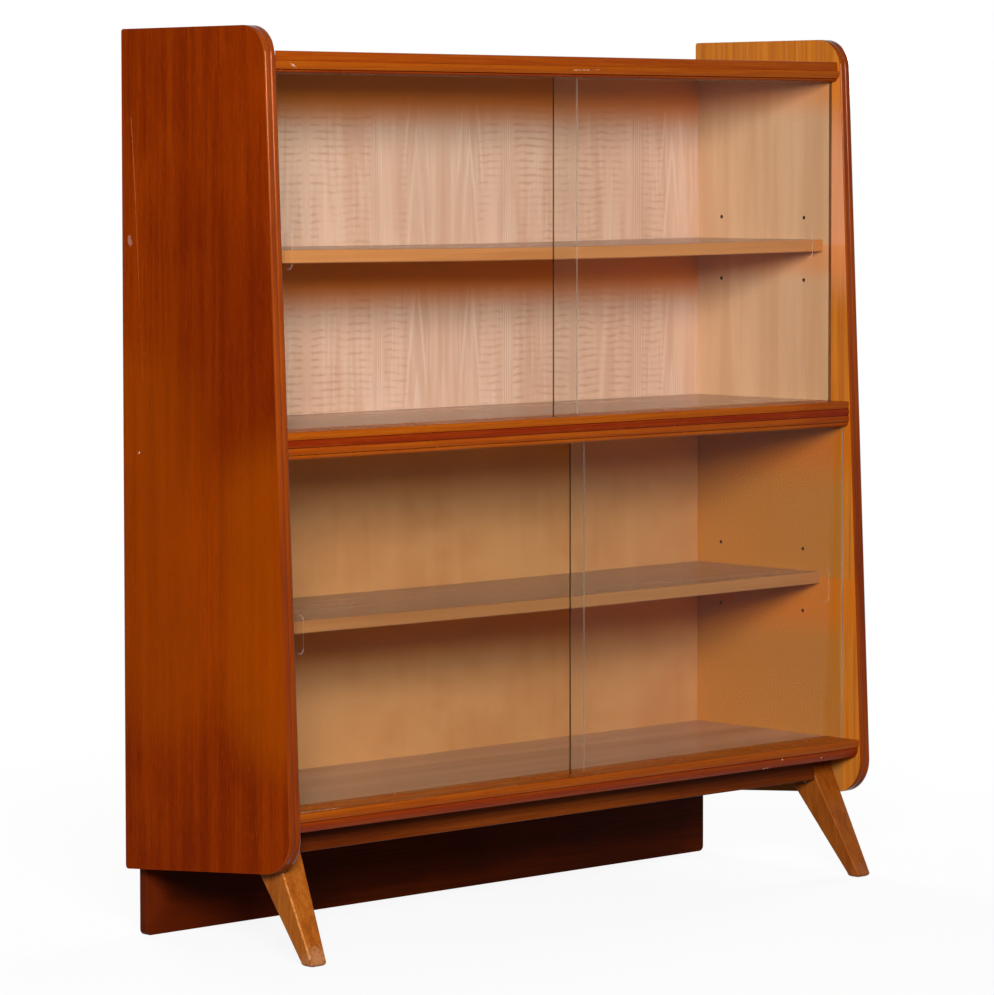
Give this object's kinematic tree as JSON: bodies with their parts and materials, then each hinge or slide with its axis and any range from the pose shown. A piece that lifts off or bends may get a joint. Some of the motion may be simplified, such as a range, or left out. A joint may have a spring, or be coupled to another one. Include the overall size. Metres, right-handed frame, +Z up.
{
  "type": "bookcase with glass doors",
  "caption": "Free-standing bookcase with raked side boards, reeded front mouldings, pin-borne shelves behind sliding glass panes, tapered front legs and a rear plinth board.",
  "frame": {"origin": "bottom centre of the bounding box, on the floor", "axes": "+X along the width to the viewer's right, -Y out of the glass front, +Z up"},
  "size_m": [1.15, 0.3644, 1.2472],
  "materials": {
    "stained_side": "gloss",
    "polished_moulding": "gloss",
    "board_veneer": "satin",
    "back_veneer": "satin",
    "shelf_veneer": "satin",
    "leg_wood": "satin",
    "dark_plinth": "satin",
    "apron_wood": "satin",
    "clear_glass": "polished",
    "screw_steel": "satin",
    "pin_brass": "satin",
    "dowel_wood": "matte"
  },
  "bodies": {
    "carcass": {"side_left": "stained_side", "side_right": "stained_side", "top_board": "board_veneer", "top_moulding": "polished_moulding", "middle_board": "board_veneer", "middle_moulding": "polished_moulding", "bottom_board": "board_veneer", "bottom_moulding": "polished_moulding", "back_panel": "back_veneer", "rear_plinth": "dark_plinth", "front_apron": "apron_wood", "leg_left": "leg_wood", "leg_screw_left_1": "screw_steel", "leg_screw_left_2": "screw_steel", "leg_right": "leg_wood", "leg_screw_right_1": "screw_steel", "leg_screw_right_2": "screw_steel", "shelf_upper": "shelf_veneer", "shelf_lower": "shelf_veneer", "shelf_pin_upper_left_rear": "pin_brass", "shelf_pin_upper_left_front": "pin_brass", "shelf_pin_upper_right_rear": "pin_brass", "shelf_pin_upper_right_front": "pin_brass", "shelf_pin_lower_left_rear": "pin_brass", "shelf_pin_lower_left_front": "pin_brass", "shelf_pin_lower_right_rear": "pin_brass", "shelf_pin_lower_right_front": "pin_brass", "back_screw_top_1": "screw_steel", "back_screw_top_2": "screw_steel", "back_screw_top_3": "screw_steel", "dowel_top_left_rear": "dowel_wood", "dowel_top_left_front": "dowel_wood", "dowel_top_right_rear": "dowel_wood", "dowel_top_right_front": "dowel_wood", "back_screw_middle_1": "screw_steel", "back_screw_middle_2": "screw_steel", "back_screw_middle_3": "screw_steel", "dowel_middle_left_rear": "dowel_wood", "dowel_middle_left_front": "dowel_wood", "dowel_middle_right_rear": "dowel_wood", "dowel_middle_right_front": "dowel_wood", "back_screw_bottom_1": "screw_steel", "back_screw_bottom_2": "screw_steel", "back_screw_bottom_3": "screw_steel", "dowel_bottom_left_rear": "dowel_wood", "dowel_bottom_left_front": "dowel_wood", "dowel_bottom_right_rear": "dowel_wood", "dowel_bottom_right_front": "dowel_wood", "dowel_apron_1": "dowel_wood", "dowel_apron_2": "dowel_wood", "dowel_plinth_1": "dowel_wood", "dowel_plinth_2": "dowel_wood"},
    "pane_upper_right": {"glass_upper_right": "clear_glass"},
    "pane_upper_left": {"glass_upper_left": "clear_glass"},
    "pane_lower_right": {"glass_lower_right": "clear_glass"},
    "pane_lower_left": {"glass_lower_left": "clear_glass"}
  },
  "joints": [
    {"name": "upper_right_slide", "type": "slide", "parent": "carcass", "child": "pane_upper_right", "axis": [-1, 0, 0], "range_m": [0, 0.5325]},
    {"name": "upper_left_slide", "type": "slide", "parent": "carcass", "child": "pane_upper_left", "axis": [1, 0, 0], "range_m": [0, 0.5225]},
    {"name": "lower_right_slide", "type": "slide", "parent": "carcass", "child": "pane_lower_right", "axis": [-1, 0, 0], "range_m": [0, 0.5375]},
    {"name": "lower_left_slide", "type": "slide", "parent": "carcass", "child": "pane_lower_left", "axis": [1, 0, 0], "range_m": [0, 0.5365]}
  ]
}
